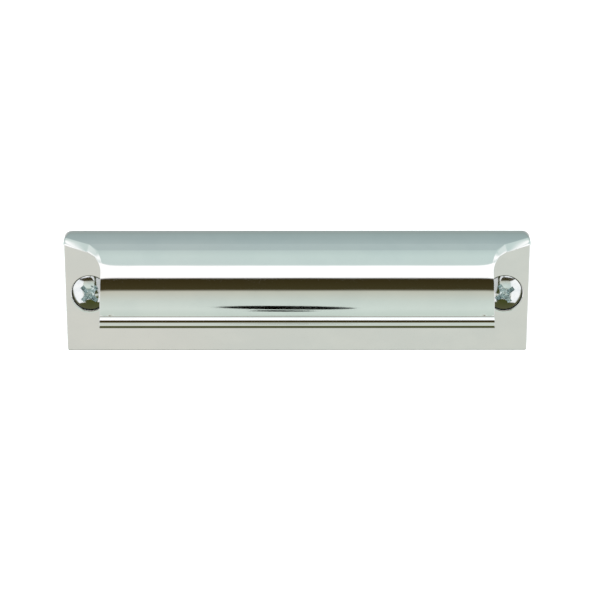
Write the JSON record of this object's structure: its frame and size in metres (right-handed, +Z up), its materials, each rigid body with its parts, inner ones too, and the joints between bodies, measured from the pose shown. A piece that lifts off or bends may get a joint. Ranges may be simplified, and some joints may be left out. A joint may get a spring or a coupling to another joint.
{
  "type": "hooded finger pull",
  "caption": "Flat screw-on plate with a curved hood, open below and at its ends, and a beaded lip to pull or lift by.",
  "frame": {"origin": "on the plate's flat back face, midway between the two screws", "axes": "+X along the plate's length, to the right as seen from the front; +Y into the surface that the pull is screwed to, so the hood projects towards -Y; +Z up, and the hood opens downwards"},
  "size_m": [0.1016, 0.0336, 0.027],
  "materials": {
    "chrome_plate": "polished chrome plating on brass, faint buffing lines",
    "bright_screw": "bright blue-white zinc plating on steel"
  },
  "bodies": {
    "pull": {"pull_body": "chrome_plate"},
    "left_screw": {"screw_left": "bright_screw"},
    "right_screw": {"screw_right": "bright_screw"}
  },
  "joints": [
    {"name": "left_screw_turn", "type": "hinge", "parent": "pull", "child": "left_screw", "pos_m": [-0.0455, 0, 0], "axis": [0, 1, 0], "continuous": true},
    {"name": "right_screw_turn", "type": "hinge", "parent": "pull", "child": "right_screw", "pos_m": [0.0455, 0, 0], "axis": [0, 1, 0], "continuous": true}
  ]
}
